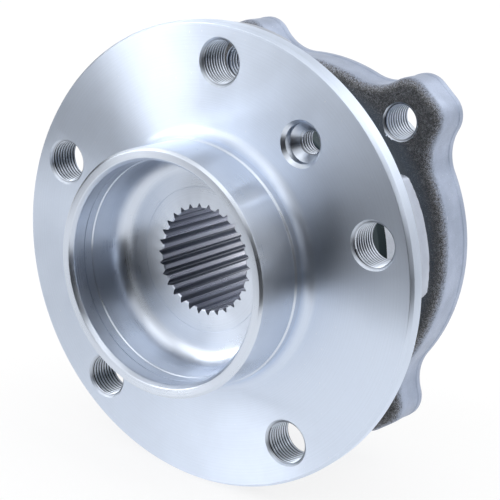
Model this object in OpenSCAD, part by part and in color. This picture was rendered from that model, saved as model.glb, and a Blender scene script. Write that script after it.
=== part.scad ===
// Driven wheel hub assembly: a flanged hub that turns on two ball rows inside a lugged outer ring.
// The hub axis lies along Y, the wheel side faces -Y, and the wheel-mounting face is the plane Y = 0.

/* [Wheel flange] */
// Distance from the bolt circle out to the flange rim
flange_margin = 11.5; // [10:0.5:15]
// Thickness of the flange at its rim
flange_rim_t = 5.4; // [5:0.1:7]
// Thickness of the flange at the bolt bosses
boss_t = 12; // [11:0.5:13]
// Width of each bolt boss
boss_w = 30.4; // [26:0.2:32]
// Pitch circle diameter of the wheel-bolt holes
bolt_pcd = 120; // [116:0.5:122]
// Number of wheel-bolt holes
bolt_count = 5; // [4:1:5]
// Thread diameter of the wheel-bolt holes
bolt_thread_d = 14; // [12:1:14]
// Thread pitch of the wheel-bolt holes
bolt_pitch = 1.25; // [1.25:0.25:1.5]
// Angle of the first wheel-bolt hole
bolt_phase = 91; // [0:1:359]
// Distance from the bolt circle in to the disc-locating screw hole
screw_inset = 8.3; // [7:0.1:10]
// Thread diameter of the disc-locating screw hole
screw_thread_d = 8; // [6:1:8]
// Mouth diameter of the disc-locating screw countersink
screw_mouth_d = 13.2; // [11:0.1:14]

/* [Wheel pilot] */
// Diameter of the wheel pilot
pilot_d = 74.2; // [74:0.1:75]
// Height of the pilot above the wheel-mounting face
pilot_h = 22.5; // [20:0.5:26]
// Step from the pilot out to its root
pilot_root_step = 0.5; // [0.1:0.1:1]
// Height of the pilot root
pilot_root_h = 6.2; // [5:0.1:8]
// Fillet between the pilot root and the flange
pilot_fillet_r = 3.5; // [2:0.1:4]
// Wall thickness of the pilot
pilot_wall_t = 3.9; // [3.5:0.1:6]
// Fillet at the floor of the cup
cup_fillet_r = 6; // [4:0.1:8]

/* [Axle spline] */
// Number of spline teeth
spline_teeth = 30; // [24:1:32]
// Minor diameter of the spline, at the tooth tips
spline_minor_d = 31.2; // [30:0.1:32]
// Major diameter of the spline, at the groove floors
spline_major_d = 34.4; // [33:0.1:35]

/* [Ball rows] */
// Pitch diameter of both ball rows
row_d = 68; // [67:0.5:69]
// Ball diameter
ball_d = 12.7; // [12:0.1:12.7]
// Balls in each row
balls_per_row = 14; // [12:1:14]
// Distance from the wheel face to the outboard row
outboard_row_y = 31.5; // [31:0.1:32]
// Distance between the two rows
row_spacing = 29; // [28:0.1:30]
// Radial clearance between a ball and its raceways
raceway_clear = 0.08; // [0.05:0.01:0.2]
// Clearance between a ball and its cage pocket
pocket_clear = 0.25; // [0.15:0.05:0.3]

/* [Outer ring] */
// Wall thickness of the ring at the knuckle pilot
knuckle_pilot_wall_t = 3; // [2.5:0.1:4]
// Wall thickness of the ring at its nose
ring_nose_wall_t = 3.5; // [2.5:0.1:4]
// Distance from the ring body out to the rim of the lug flange
lug_flange_margin = 9.65; // [8:0.05:11]
// Distance from the wheel face to the front of the lug flange
lug_front_y = 44.2; // [43:0.1:46]
// Distance from the wheel face to the knuckle face
knuckle_face_y = 59.25; // [58:0.25:60]
// Distance from a knuckle-bolt hole out to the lug end
lug_margin = 13; // [11:0.1:14]
// Half width of the flat at the lug ends
lug_flat_half = 3.1; // [2:0.1:4]
// Corner radius of the lugs
lug_corner_r = 8.1; // [7:0.1:9]
// Fillet radius between a lug and the flange
lug_fillet_r = 14.5; // [12:0.1:16]
// Pitch circle diameter of the knuckle-bolt holes
knuckle_pcd = 115; // [113:0.5:117]
// Thread diameter of the knuckle-bolt holes
knuckle_thread_d = 12; // [10:1:12]
// Thread pitch of the knuckle-bolt holes
knuckle_pitch = 1.5; // [1.25:0.25:1.5]
// Angle of the near lug pair on each side of the X axis
near_lug_angle = 51; // [48:1:54]
// Angle of the far lug pair on each side of the X axis
far_lug_angle = 115; // [112:1:118]

/* [Seals] */
// Distance from the ball circle out to the seal seats in the outer ring
seal_seat_rise = 8; // [7.5:0.1:8.5]
// Distance from the ball circle in to the ground lands that the seals run on
seal_land_drop = 1.5; // [1.2:0.1:2]
// Sheet thickness of the seal cases and of the slinger
seal_sheet_t = 0.8; // [0.6:0.1:1]
// Gap between each seal lip and the face it wipes
lip_clear = 0.1; // [0.05:0.05:0.2]

/* [Hidden] */
$fn = 96;
eps = 0.01;
over = 2;

steel = [0.78, 0.81, 0.86];
forged_steel = [0.55, 0.58, 0.63];
ground_steel = [0.72, 0.74, 0.78];
sheet_steel = [0.62, 0.64, 0.66];
polyamide = [0.80, 0.72, 0.52];
seal_rubber = [0.10, 0.10, 0.11];
encoder_rubber = [0.16, 0.13, 0.11];

// Axial positions are heights towards the wheel, so a distance behind the face is negative.
outboard_row_h = -outboard_row_y;
inboard_row_h = outboard_row_h - row_spacing;
row_mid_h = (outboard_row_h + inboard_row_h) / 2;
ring_front_reach = 14;
ring_back_reach = 15.5;
inner_ring_setback = 1;
collar_h = 4.5;
ring_front_h = outboard_row_h + ring_front_reach;
ring_back_h = inboard_row_h - ring_back_reach;
inner_ring_end_h = ring_back_h + inner_ring_setback;
hub_end_h = inner_ring_end_h - collar_h;

bolt_r = bolt_pcd / 2;
screw_r = bolt_r - screw_inset;
flange_r = bolt_r + flange_margin;
rim_chamfer_r = 0.8;
rim_chamfer_h = 1.2;
boss_end_inset = 1.1;
boss_end_r = flange_r - boss_end_inset;
boss_corner_r = 5;
rim_land_w = 5.5;
flange_back_outer_r = flange_r - rim_land_w;
flange_web_r = 46;
flange_web_t = 9;
seal_face_r = 42;
seal_face_drop = 0.8;
seal_face_h = -boss_t - seal_face_drop;
seal_face_flank = 1.5;
neck_fillet_r = 4;

pilot_r = pilot_d / 2;
pilot_root_r = pilot_r + pilot_root_step;
pilot_chamfer = 0.8;
pilot_root_chamfer = 0.5;
cup_r = pilot_r - pilot_wall_t;
cup_mouth_w = 0.95;
cup_mouth_h = 1.4;
cup_step = 0.35;
cup_lower_r = cup_r - cup_step;
cup_step_h = 13;
cup_groove_h = 16.5;
cup_groove_w = 0.9;
cup_groove_depth = 0.3;
floor_ring_r = 22.2;
floor_ring_w = 0.3;
floor_ring_depth = 0.15;

spline_minor_r = spline_minor_d / 2;
spline_major_r = spline_major_d / 2;
spline_floor_half = 0.3;
spline_mouth_half = 1.35;
spline_overcut = 0.6;
spline_chamfer = 0.5;
entry_step = 0.4;
entry_r = spline_major_r + entry_step;
entry_depth = 6;

row_r = row_d / 2;
ball_r = ball_d / 2;
groove_r = ball_r + raceway_clear;
groove_floor_r = row_r - groove_r;
low_shoulder_rise = 0.35;
low_shoulder_r = groove_floor_r + low_shoulder_rise;
seal_land_r = row_r - seal_land_drop;
seal_seat_r = row_r + seal_seat_rise;
outer_shoulder_reach = 2.5;
outer_shoulder_r = row_r + outer_shoulder_reach;
outer_relief_r = row_r + groove_r;
inner_seat_r = 22.5;
inner_ring_chamfer = 0.8;
collar_r = 29.5;
collar_round_r = 2;
collar_bevel = 1;

cage_inner_reach = 2.8;
cage_gap = 0.6;
cage_inner_r = row_r - cage_inner_reach;
cage_outer_r = outer_shoulder_r - cage_gap;
cage_base_t = 2.6;
cage_base_gap = 0.5;
cage_prong = 4.5;

ring_nose_step = 3;
ring_nose_r = seal_seat_r + ring_nose_wall_t;
ring_body_r = ring_nose_r + ring_nose_step;
ring_nose_length = 9;
ring_cone_length = 4.1;
ring_nose_back_h = ring_front_h - ring_nose_length;
ring_body_front_h = ring_nose_back_h - ring_cone_length;
ring_fillet_r = 3;
ring_edge_chamfer = 1;
knuckle_pilot_r = seal_seat_r + knuckle_pilot_wall_t;
knuckle_r = knuckle_pcd / 2;
knuckle_chamfer = 1.5;
lug_flange_r = ring_body_r + lug_flange_margin;
lug_end_r = knuckle_r + lug_margin;
lug_land_t = 3.6;
lug_step = 0.4;
lug_angles = [near_lug_angle, -near_lug_angle, far_lug_angle, -far_lug_angle];

// Outboard seal: a case with its web towards the wheel, and rubber with two land lips and a side lip.
outboard_seat_depth = 6.5;
outboard_case_setback = 0.4;
outboard_case_h = ring_front_h - outboard_case_setback;
outboard_case_leg = 5.5;
outboard_case_web = 6;
outboard_case_r = seal_seat_r - outboard_case_web;
outboard_rubber_t = 1.1;
lip_t = 0.6;
land_lip_length = 1.6;
side_lip_reach = 2.6;
side_lip_r = outboard_case_r + side_lip_reach;

// Inboard seal: a case with its web towards the balls, and rubber that wipes the slinger.
cassette_sheet_t = 0.6;
inboard_seat_depth = 7.5;
inboard_case_gap = 0.3;
inboard_case_h = ring_back_h + inboard_seat_depth - inboard_case_gap;
inboard_case_leg = 6.7;
inboard_case_web = 6.6;
inboard_case_r = seal_seat_r - inboard_case_web;
inboard_rubber_t = 0.9;
flange_lip_reach = 3.6;
flange_lip_r = inboard_case_r + flange_lip_reach;
slinger_sleeve_r = seal_land_r + seal_sheet_t;
slinger_sleeve_length = 5.4;
slinger_gap = 0.3;
slinger_flange_r = seal_seat_r - cassette_sheet_t - slinger_gap;
encoder_t = 1;
encoder_inset = 1.1;
encoder_inner_r = seal_land_r + encoder_inset;

bolt_mouth_over = 0.33;
bolt_chamfer_r = bolt_thread_d / 2 + bolt_mouth_over;
screw_mouth_r = screw_mouth_d / 2;
screw_pitch = 1.25;
screw_mouth_depth = 0.8;
knuckle_mouth_over = 0.2;
knuckle_chamfer_r = knuckle_thread_d / 2 + knuckle_mouth_over;

ball_names = [for (side = ["outboard", "inboard"]) for (i = [1:balls_per_row]) str(side, "_ball_", i)];

// Depth of a metric internal thread for a pitch.
function thread_depth(pitch) = 0.541 * pitch;
// Radius of the drilled core of a thread.
function core_r(thread_d, pitch) = thread_d / 2 - thread_depth(pitch);

// One turn of a thread outline from height h, as [radius, height] points.
function thread_turn(thread_d, pitch, h) = [
    [core_r(thread_d, pitch), h + pitch / 8],
    [thread_d / 2, h + pitch * 7 / 16],
    [thread_d / 2, h + pitch * 9 / 16],
    [core_r(thread_d, pitch), h + pitch * 7 / 8]];

// Turns local height into the direction of the wheel and keeps angles in the XZ plane.
module on_axis() {
    rotate([90, 0, 0]) children();
}

// Solid that cuts a threaded hole upwards from height zero, with ring grooves for the turns.
module thread_cutter(thread_d, pitch, length) {
    turns = floor(length / pitch);
    start = (length - turns * pitch) / 2;
    rotate_extrude()
        polygon(concat(
            [[0, -eps], [core_r(thread_d, pitch), -eps]],
            [for (i = [0:turns - 1]) each thread_turn(thread_d, pitch, start + i * pitch)],
            [[core_r(thread_d, pitch), length + eps], [0, length + eps]]));
}

// Cone that breaks the edge of a hole whose mouth lies at height zero and opens upwards.
module mouth_chamfer(mouth_r, hole_r) {
    depth = mouth_r - hole_r;
    translate([0, 0, -depth]) cylinder(r1 = hole_r, r2 = mouth_r + eps, h = depth + eps);
}

// Section of the turned hub.
module hub_section() {
    difference() {
        union() {
            polygon([
                [0, 0],
                [cup_lower_r - cup_fillet_r, 0],
                [cup_lower_r, cup_fillet_r],
                [cup_lower_r, cup_step_h],
                [cup_r, cup_step_h + cup_step],
                [cup_r, pilot_h - cup_mouth_h],
                [cup_r + cup_mouth_w, pilot_h],
                [pilot_r - pilot_chamfer, pilot_h],
                [pilot_r, pilot_h - pilot_chamfer],
                [pilot_r, pilot_root_h],
                [pilot_root_r, pilot_root_h - pilot_root_chamfer],
                [pilot_root_r, 0],
                [flange_r - rim_chamfer_r, 0],
                [flange_r, -rim_chamfer_h],
                [flange_r, -flange_rim_t],
                [flange_back_outer_r, -flange_rim_t],
                [flange_web_r, -flange_web_t],
                [seal_face_r + seal_face_flank, -flange_web_t],
                [seal_face_r, seal_face_h],
                [seal_land_r, seal_face_h],
                [seal_land_r, outboard_row_h],
                [low_shoulder_r, outboard_row_h],
                [low_shoulder_r, row_mid_h],
                [inner_seat_r, row_mid_h],
                [inner_seat_r, inner_ring_end_h],
                [collar_r - collar_round_r, inner_ring_end_h],
                [collar_r - collar_round_r, hub_end_h + collar_bevel],
                [collar_r - collar_round_r - collar_bevel, hub_end_h],
                [0, hub_end_h]]);
            // fillet at the cup floor
            difference() {
                translate([cup_lower_r - cup_fillet_r, 0]) square(cup_fillet_r + eps);
                translate([cup_lower_r - cup_fillet_r, cup_fillet_r]) circle(cup_fillet_r);
                translate([0, cup_fillet_r]) square([cup_lower_r, cup_fillet_r]);
            }
            // fillet at the pilot root
            difference() {
                translate([pilot_root_r - eps, -eps]) square(pilot_fillet_r + eps);
                translate([pilot_root_r + pilot_fillet_r, pilot_fillet_r]) circle(pilot_fillet_r);
            }
            // fillet between the seal face and the seal land
            difference() {
                translate([seal_land_r - eps, seal_face_h - neck_fillet_r]) square(neck_fillet_r + eps);
                translate([seal_land_r + neck_fillet_r, seal_face_h - neck_fillet_r]) circle(neck_fillet_r);
            }
            // rolled collar that holds the inner ring
            translate([collar_r - collar_round_r, inner_ring_end_h - collar_round_r])
                circle(collar_round_r);
        }
        // outboard raceway
        translate([row_r, outboard_row_h]) circle(groove_r);
        // tool groove in the cup wall
        translate([cup_r - over, cup_groove_h - cup_groove_w / 2])
            square([over + cup_groove_depth, cup_groove_w]);
        // fine ring groove in the cup floor
        translate([floor_ring_r, -floor_ring_depth]) square([floor_ring_w, over]);
    }
}

// Outline of one bolt boss along the X axis, with round outer corners.
module boss_outline() {
    length = boss_end_r - seal_land_r;
    corner_inset = boss_corner_r + boss_end_inset;
    intersection() {
        circle(boss_end_r);
        union() {
            translate([seal_land_r, -boss_w / 2]) square([length - corner_inset, boss_w]);
            translate([seal_land_r, -boss_w / 2 + boss_corner_r])
                square([length, boss_w - 2 * boss_corner_r]);
            for (side = [-1, 1])
                translate([boss_end_r - corner_inset, side * (boss_w / 2 - boss_corner_r)])
                    circle(boss_corner_r);
        }
    }
}

// Spline grooves as straight-sided cuts around the bore.
module spline_cutter() {
    translate([0, 0, hub_end_h - over]) {
        cylinder(r = spline_minor_r, h = -hub_end_h + 2 * over);
        for (i = [0:spline_teeth - 1])
            rotate((i + 0.5) * 360 / spline_teeth)
                linear_extrude(-hub_end_h + 2 * over)
                    polygon([
                        [spline_minor_r - spline_overcut, -spline_mouth_half],
                        [spline_major_r, -spline_floor_half],
                        [spline_major_r, spline_floor_half],
                        [spline_minor_r - spline_overcut, spline_mouth_half]]);
    }
}

// Flanged hub with the wheel pilot, the spline, the outboard raceway and the rolled collar.
module hub() {
    color(steel) on_axis() difference() {
        union() {
            rotate_extrude() hub_section();
            for (i = [0:bolt_count - 1])
                rotate(bolt_phase + i * 360 / bolt_count)
                    translate([0, 0, -boss_t])
                        linear_extrude(boss_t - flange_rim_t / 2) boss_outline();
        }
        spline_cutter();
        mouth_chamfer(spline_major_r + spline_chamfer, spline_major_r - spline_chamfer);
        translate([0, 0, hub_end_h - over]) cylinder(r = entry_r, h = entry_depth + over);
        for (i = [0:bolt_count - 1])
            rotate(bolt_phase + i * 360 / bolt_count)
                translate([bolt_r, 0, 0]) {
                    translate([0, 0, -boss_t]) thread_cutter(bolt_thread_d, bolt_pitch, boss_t);
                    mouth_chamfer(bolt_chamfer_r, core_r(bolt_thread_d, bolt_pitch));
                }
        rotate(bolt_phase - 180 / bolt_count)
            translate([screw_r, 0, 0]) {
                translate([0, 0, -flange_web_t]) thread_cutter(screw_thread_d, screw_pitch, flange_web_t);
                translate([0, 0, -screw_mouth_depth]) {
                    cylinder(r = screw_mouth_r, h = screw_mouth_depth + eps);
                    mouth_chamfer(screw_mouth_r, core_r(screw_thread_d, screw_pitch));
                }
            }
    }
}

// Small inner ring that carries the inboard raceway and is held by the rolled collar.
module inner_ring() {
    color(ground_steel) on_axis() rotate_extrude() difference() {
        polygon([
            [inner_seat_r, row_mid_h - inner_ring_chamfer],
            [inner_seat_r + inner_ring_chamfer, row_mid_h],
            [low_shoulder_r, row_mid_h],
            [low_shoulder_r, inboard_row_h],
            [seal_land_r, inboard_row_h],
            [seal_land_r, inner_ring_end_h],
            [inner_seat_r, inner_ring_end_h]]);
        translate([row_r, inboard_row_h]) circle(groove_r);
    }
}

// Side patch that blends one lug flank into the flange circle, for a lug along the X axis.
module lug_flank(grow) {
    corner_r = lug_corner_r + grow;
    fillet_r = lug_fillet_r - grow;
    corner_x = lug_end_r - lug_corner_r;
    to_axis = lug_flange_r + grow + fillet_r;
    to_corner = corner_r + fillet_r;
    reach = norm([corner_x, lug_flat_half]);
    along = (to_axis * to_axis - to_corner * to_corner + reach * reach) / (2 * reach);
    across = sqrt(to_axis * to_axis - along * along);
    fillet_angle = atan2(across, along) + atan2(lug_flat_half, corner_x);
    centre = to_axis * [cos(fillet_angle), sin(fillet_angle)];
    corner = [corner_x, lug_flat_half];
    on_flange = centre * (lug_flange_r + grow) / to_axis;
    on_corner = corner + (centre - corner) * corner_r / to_corner;
    difference() {
        polygon([[0, 0], corner, on_corner, centre, on_flange]);
        translate(centre) circle(fillet_r);
    }
}

// Outline of the lug flange, grown on all sides by a draft step.
module lug_flange_outline(grow) {
    circle(lug_flange_r + grow);
    for (angle = lug_angles)
        rotate(angle) {
            translate([lug_flange_r / 2, -lug_flat_half])
                square([lug_end_r + grow - lug_flange_r / 2, 2 * lug_flat_half]);
            for (side = [0, 1])
                mirror([0, side, 0]) {
                    lug_flank(grow);
                    translate([lug_end_r - lug_corner_r, lug_flat_half]) circle(lug_corner_r + grow);
                }
        }
}

// Outer half of the ring section, without the bore.
module ring_section() {
    difference() {
        union() {
            polygon([
                [row_r, ring_front_h],
                [ring_nose_r - ring_edge_chamfer, ring_front_h],
                [ring_nose_r, ring_front_h - ring_edge_chamfer],
                [ring_nose_r, ring_nose_back_h],
                [ring_body_r, ring_body_front_h],
                [ring_body_r, -lug_front_y - over],
                [knuckle_pilot_r, -lug_front_y - over],
                [knuckle_pilot_r, ring_back_h + knuckle_chamfer],
                [knuckle_pilot_r - knuckle_chamfer, ring_back_h],
                [row_r, ring_back_h]]);
            difference() {
                translate([ring_body_r - eps, -lug_front_y - eps]) square(ring_fillet_r + eps);
                translate([ring_body_r + ring_fillet_r, -lug_front_y + ring_fillet_r]) circle(ring_fillet_r);
            }
        }
        ring_bore_section();
    }
}

// Section of everything that is hollow in the outer ring: both raceways and both seal seats.
module ring_bore_section() {
    translate([0, ring_back_h - over]) square([outer_shoulder_r, ring_front_h - ring_back_h + 2 * over]);
    for (h = [outboard_row_h, inboard_row_h])
        translate([row_r, h]) circle(groove_r);
    translate([0, outboard_row_h]) square([outer_relief_r, ring_front_h - outboard_row_h + over]);
    translate([0, ring_front_h - outboard_seat_depth])
        square([seal_seat_r, outboard_seat_depth + over]);
    translate([0, ring_back_h - over]) square([outer_relief_r, inboard_row_h - ring_back_h + over]);
    translate([0, ring_back_h - over]) square([seal_seat_r, inboard_seat_depth + over]);
}

// Fixed outer ring with both outer raceways and four threaded lugs.
module outer_ring() {
    lug_t = knuckle_face_y - lug_front_y;
    color(forged_steel) on_axis() difference() {
        union() {
            rotate_extrude() ring_section();
            difference() {
                union() {
                    translate([0, 0, -knuckle_face_y + lug_land_t - eps])
                        linear_extrude(lug_t - lug_land_t + eps) lug_flange_outline(-lug_step);
                    translate([0, 0, -knuckle_face_y]) linear_extrude(lug_land_t) lug_flange_outline(0);
                }
                rotate_extrude() ring_bore_section();
            }
        }
        for (angle = lug_angles)
            rotate(angle)
                translate([knuckle_r, 0, -knuckle_face_y]) {
                    thread_cutter(knuckle_thread_d, knuckle_pitch, lug_t);
                    translate([0, 0, lug_t])
                        mouth_chamfer(knuckle_chamfer_r, core_r(knuckle_thread_d, knuckle_pitch));
                    mirror([0, 0, 1])
                        mouth_chamfer(knuckle_chamfer_r, core_r(knuckle_thread_d, knuckle_pitch));
                }
    }
}

// Crown cage for the row at height row_h, with its closed rim on the side given by rim_side.
module cage(row_h, rim_side, phase) {
    rim_h = row_h + rim_side * (ball_r + cage_base_gap);
    color(polyamide) on_axis() difference() {
        rotate_extrude()
            polygon([
                [cage_inner_r, row_h - rim_side * cage_prong],
                [cage_outer_r, row_h - rim_side * cage_prong],
                [cage_outer_r, rim_h + rim_side * cage_base_t],
                [cage_inner_r, rim_h + rim_side * cage_base_t]]);
        for (i = [1:balls_per_row])
            rotate(phase + i * 360 / balls_per_row)
                translate([row_r, 0, row_h]) sphere(ball_r + pocket_clear);
    }
}

module outboard_cage() {
    cage(outboard_row_h, -1, 0);
}

module inboard_cage() {
    cage(inboard_row_h, 1, 180 / balls_per_row);
}

// One ball of a row, numbered around the axis.
module ball(row_h, phase, number) {
    color(ground_steel) on_axis()
        rotate(phase + number * 360 / balls_per_row)
            translate([row_r, 0, row_h]) sphere(ball_r);
}

module outboard_ball(number) {
    ball(outboard_row_h, 0, number);
}

module inboard_ball(number) {
    ball(inboard_row_h, 180 / balls_per_row, number);
}

// Pressed steel case of the wheel-side seal.
module outboard_seal_case() {
    color(sheet_steel) on_axis() rotate_extrude()
        polygon([
            [outboard_case_r, outboard_case_h],
            [seal_seat_r, outboard_case_h],
            [seal_seat_r, outboard_case_h - outboard_case_leg],
            [seal_seat_r - seal_sheet_t, outboard_case_h - outboard_case_leg],
            [seal_seat_r - seal_sheet_t, outboard_case_h - seal_sheet_t],
            [outboard_case_r, outboard_case_h - seal_sheet_t]]);
}

// Moulded rubber of the wheel-side seal, with two land lips and one side lip.
module outboard_seal_lip() {
    under_h = outboard_case_h - seal_sheet_t;
    rubber_h = under_h - outboard_rubber_t;
    tip_r = seal_land_r + lip_clear;
    tip_h = seal_face_h - lip_clear;
    root_r = outboard_case_r - outboard_rubber_t;
    color(seal_rubber) on_axis() rotate_extrude()
        polygon([
            [outboard_case_r, outboard_case_h],
            [outboard_case_r, under_h],
            [seal_seat_r - seal_sheet_t, under_h],
            [seal_seat_r - seal_sheet_t, rubber_h],
            [root_r, rubber_h],
            [tip_r + lip_t, rubber_h - land_lip_length],
            [tip_r, rubber_h - land_lip_length + lip_t],
            [root_r - lip_t, under_h],
            [tip_r, outboard_case_h - lip_t],
            [tip_r, outboard_case_h],
            [root_r, outboard_case_h],
            [side_lip_r - lip_t, tip_h],
            [side_lip_r, tip_h]]);
}

// Pressed steel case of the inboard cassette seal.
module inboard_seal_case() {
    color(sheet_steel) on_axis() rotate_extrude()
        polygon([
            [inboard_case_r, inboard_case_h],
            [seal_seat_r, inboard_case_h],
            [seal_seat_r, inboard_case_h - inboard_case_leg],
            [seal_seat_r - cassette_sheet_t, inboard_case_h - inboard_case_leg],
            [seal_seat_r - cassette_sheet_t, inboard_case_h - cassette_sheet_t],
            [inboard_case_r, inboard_case_h - cassette_sheet_t]]);
}

// Moulded rubber of the inboard seal, with lips that wipe the sleeve and the flange of the slinger.
module inboard_seal_lip() {
    under_h = inboard_case_h - cassette_sheet_t;
    rubber_h = under_h - inboard_rubber_t;
    tip_r = slinger_sleeve_r + lip_clear;
    tip_h = inner_ring_end_h + seal_sheet_t + lip_clear;
    root_r = inboard_case_r - inboard_rubber_t;
    color(seal_rubber) on_axis() rotate_extrude()
        polygon([
            [inboard_case_r, inboard_case_h],
            [inboard_case_r, under_h],
            [seal_seat_r - cassette_sheet_t, under_h],
            [seal_seat_r - cassette_sheet_t, rubber_h],
            [flange_lip_r - lip_t, rubber_h],
            [flange_lip_r, tip_h],
            [flange_lip_r - lip_t, tip_h],
            [flange_lip_r - 3 * lip_t, rubber_h],
            [root_r, rubber_h],
            [tip_r, under_h],
            [tip_r, under_h + lip_t],
            [root_r, inboard_case_h]]);
}

// Slinger pressed on the inner ring: a sleeve with a flange that turns inside the cassette seal.
module slinger() {
    color(sheet_steel) on_axis() rotate_extrude()
        polygon([
            [seal_land_r, inner_ring_end_h],
            [seal_land_r, inner_ring_end_h + slinger_sleeve_length],
            [slinger_sleeve_r, inner_ring_end_h + slinger_sleeve_length],
            [slinger_sleeve_r, inner_ring_end_h + seal_sheet_t],
            [slinger_flange_r, inner_ring_end_h + seal_sheet_t],
            [slinger_flange_r, inner_ring_end_h]]);
}

// Magnetised rubber ring bonded to the slinger, read by a wheel-speed sensor.
module encoder_ring() {
    color(encoder_rubber) on_axis() rotate_extrude()
        translate([encoder_inner_r, inner_ring_end_h - encoder_t])
            square([slinger_flange_r - encoder_inner_r, encoder_t]);
}

hub();
inner_ring();
outer_ring();
outboard_cage();
inboard_cage();
outboard_seal_case();
outboard_seal_lip();
inboard_seal_case();
inboard_seal_lip();
slinger();
encoder_ring();
for (i = [1:balls_per_row]) {
    outboard_ball(i);
    inboard_ball(i);
}
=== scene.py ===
"""Looks of the driven wheel hub assembly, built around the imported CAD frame."""

import math

import bmesh
import bpy
from mathutils import Matrix, Vector, noise


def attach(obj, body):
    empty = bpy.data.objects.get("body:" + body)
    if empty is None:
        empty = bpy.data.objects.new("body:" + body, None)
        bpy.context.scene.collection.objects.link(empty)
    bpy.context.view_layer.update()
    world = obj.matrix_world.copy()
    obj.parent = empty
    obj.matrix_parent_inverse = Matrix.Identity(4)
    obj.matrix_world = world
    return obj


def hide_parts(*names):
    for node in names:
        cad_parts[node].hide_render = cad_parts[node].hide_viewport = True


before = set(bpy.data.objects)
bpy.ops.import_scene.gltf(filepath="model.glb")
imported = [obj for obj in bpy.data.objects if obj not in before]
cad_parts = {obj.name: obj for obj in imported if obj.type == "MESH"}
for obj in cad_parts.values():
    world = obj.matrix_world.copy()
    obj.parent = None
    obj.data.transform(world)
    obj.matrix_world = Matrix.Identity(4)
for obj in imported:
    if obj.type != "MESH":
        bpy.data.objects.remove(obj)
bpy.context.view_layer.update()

MM = 0.001
TURN = 2 * math.pi

# Sizes in millimetres. y runs from the wheel face towards the vehicle. The main sizes are those of the
# solids. The bosses, the disc-screw hole, the cup's groove and the lugs' land were measured again later.
FLANGE_R = 71.5
RIM_T = 5.4
BOSS_T = 12.0
BOSS_W = 36.0
BOSS_END_R = 70.9
BOSS_END_ARC = 48.0
BOSS_CORNER_R = 4.0
BOSS_CORNER_INSET = 2.1
BOSS_FLANK = 0.8
BOLT_R = 60.0
BOLT_COUNT = 5
BOLT_PHASE = 91.0
BOLT_THREAD_R = 7.0
BOLT_PITCH = 1.25
BOLT_MOUTH_R = 7.33
SCREW_R = 51.7
SCREW_THREAD_R = 4.0
SCREW_PITCH = 1.25
SCREW_MOUTH_R = 6.95
SCREW_SEAT_R = 5.9
SCREW_SEAT_Y = 3.45
SCREW_PAD_R = 9.0
SCREW_ANGLE = BOLT_PHASE - 180 / BOLT_COUNT

PILOT_R = 37.1
PILOT_H = 22.5
PILOT_ROOT_R = 37.6
PILOT_ROOT_H = 6.2
PILOT_FILLET = 3.5
CUP_R = 33.2
CUP_LOWER_R = 32.85
CUP_STEP_H = 13.0
CUP_GROOVE_H = 16.5
CUP_FILLET = 6.0
CUP_MOUTH_W = 0.95
CUP_MOUTH_H = 1.4
FLOOR_RING_R = 22.35

SPLINE_TEETH = 30
SPLINE_MINOR_R = 15.6
SPLINE_MAJOR_R = 17.2
SPLINE_FLOOR_HALF = 0.16
SPLINE_MOUTH_HALF = 1.35
ENTRY_R = 17.6
ENTRY_Y = 73.5

WEB_R = 46.0
WEB_Y = 9.0
RIM_LAND_R = 66.0
SEAL_FACE_R = 42.0
SEAL_FACE_Y = 12.8
NECK_FILLET = 4.0
SEAL_LAND_R = 32.5
OUTBOARD_ROW_Y = 31.5
INBOARD_ROW_Y = 60.5
ROW_R = 34.0
GROOVE_R = 6.43
LOW_SHOULDER_R = 27.92
ROW_MID_Y = 46.0
INNER_SEAT_R = 22.5
INNER_RING_END_Y = 75.0
COLLAR_R = 29.5
HUB_END_Y = 79.5

RING_FRONT_Y = 17.5
RING_NOSE_R = 45.5
RING_NOSE_BACK_Y = 26.5
RING_BODY_R = 48.5
RING_BODY_FRONT_Y = 30.6
RING_FILLET = 3.0
LUG_FRONT_Y = 44.2
KNUCKLE_FACE_Y = 59.25
RING_BACK_Y = 76.0
KNUCKLE_PILOT_R = 45.0
SEAL_SEAT_R = 42.0
OUTBOARD_SEAT_Y = 24.0
INBOARD_SEAT_Y = 68.5
OUTER_SHOULDER_R = 36.5
LUG_FLANGE_R = 58.15
LUG_END_R = 70.5
LUG_FLAT_HALF = 3.1
LUG_CORNER_R = 8.1
LUG_FILLET_R = 14.5
LUG_LAND_T = 2.5
LUG_STEP = 0.22
LUG_EDGE_R = 3.2
LUG_SIDE_ROWS_Y = (48.5, 50.5, 52.5, 54.5, 56.0)
FORGED_DENT = 0.3
LUG_ANGLES = (51.0, 115.0, 245.0, 309.0)
KNUCKLE_BOLT_R = 57.5
KNUCKLE_THREAD_R = 6.0
KNUCKLE_PITCH = 1.5
KNUCKLE_MOUTH_R = 6.2

# Depth of a thread as a share of its pitch, how much narrower a drilled hole is than the crests in it, how
# far cutters reach past a surface, and how many degrees of a ball groove one step of its arc covers
THREAD_DEPTH = 0.541
DRILL_GAP = 0.02
BEYOND = 1.0
RACE_STEP = 6

# How finely shapes are divided: parts of a turn, spacing and steps in millimetres, and rows on the lug
# flange's front. An edge sharper than SHARP_DEGREES stays hard.
HUB_PARTS = 720
THREAD_PARTS = 64
HOLE_PARTS = 96
RIM_SPACING = 0.7
FINE_STEP, COARSE_STEP = 0.2, 0.6
FRONT_ROWS = 20
SHARP_DEGREES = 28.0

# How far each thread starts from the one before it, in radians
BOLT_THREAD_TURN, LUG_THREAD_TURN = 0.9, 1.7


def polar(radius, degrees):
    """A point in the plane across the axis, as (x, z)."""
    a = math.radians(degrees)
    return Vector((radius * math.cos(a), radius * math.sin(a)))


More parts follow.
